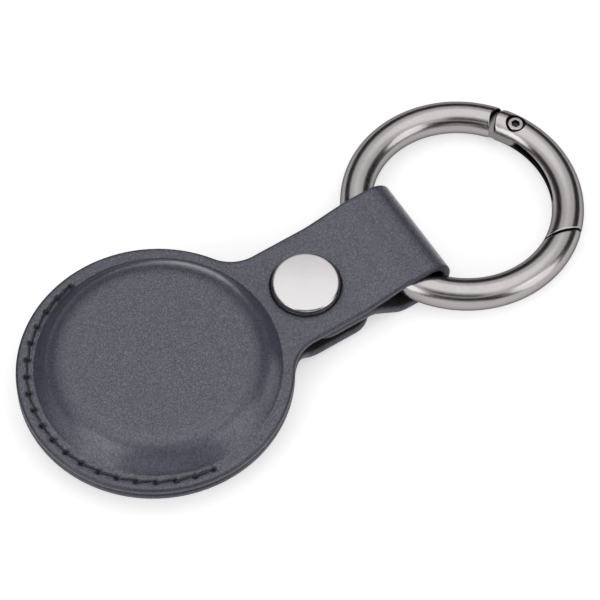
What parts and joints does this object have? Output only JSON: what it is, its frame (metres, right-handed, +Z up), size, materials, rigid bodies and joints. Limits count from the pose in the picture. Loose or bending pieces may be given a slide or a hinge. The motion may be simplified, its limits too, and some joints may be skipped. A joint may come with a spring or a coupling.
{
  "type": "tracker tag holder",
  "caption": "Round leather pocket for a coin-shaped tracker tag, sewn along one edge, with a snap strap folded round a spring-gate key ring.",
  "frame": {"origin": "on the floor under the middle of the holder's whole length, with the holder lying on its back", "axes": "+X along the strap from the pocket to the ring, +Y across the strap, +Z up from the back to the front of the pocket"},
  "size_m": [0.0962, 0.042, 0.0109],
  "materials": {
    "leather": "satin charcoal leather with a fine pebble grain",
    "thread": "waxed polyester sewing thread",
    "snap_metal": "satin nickel with a polished edge",
    "gunmetal": "satin black-nickel plate",
    "spring_steel": "bright spring steel"
  },
  "bodies": {
    "holder": {"front_panel": "leather", "strap_tongue": "leather", "back_panel": "leather", "needle_thread": "thread", "bobbin_thread": "thread", "snap_cap": "snap_metal", "snap_socket": "snap_metal", "socket_spring": "spring_steel"},
    "strap_end": {"strap_loop": "leather"},
    "ring": {"ring_body": "gunmetal"},
    "gate": {"ring_gate": "gunmetal", "gate_pin": "gunmetal", "gate_spring": "spring_steel"},
    "flap": {"back_flap": "leather", "snap_stud": "snap_metal", "snap_post": "snap_metal"}
  },
  "joints": [
    {"name": "strap_bend", "type": "hinge", "parent": "holder", "child": "strap_end", "pos_m": [0.0063, 0, 0.0054], "axis": [0, -1, 0], "range_deg": [-8, 45], "stiffness_Nm_per_rad": 0.03},
    {"name": "ring_turn", "type": "hinge", "parent": "strap_end", "child": "ring", "pos_m": [0.0291, 0.0009, 0.0033], "axis": [0.0455, 0, 0.999], "range_deg": [-25, 100]},
    {"name": "gate_open", "type": "hinge", "parent": "ring", "child": "gate", "pos_m": [0.04391, 0.00813, 0.00263], "axis": [-0.0455, 0, -0.999], "range_deg": [0, 35], "stiffness_Nm_per_rad": 0.02, "springref_deg": -22.92},
    {"name": "flap_open", "type": "hinge", "parent": "holder", "child": "flap", "pos_m": [-0.0281, 0, 0], "axis": [0, 1, 0], "range_deg": [0, 40], "stiffness_Nm_per_rad": 0.02, "springref_deg": -5.73}
  ]
}
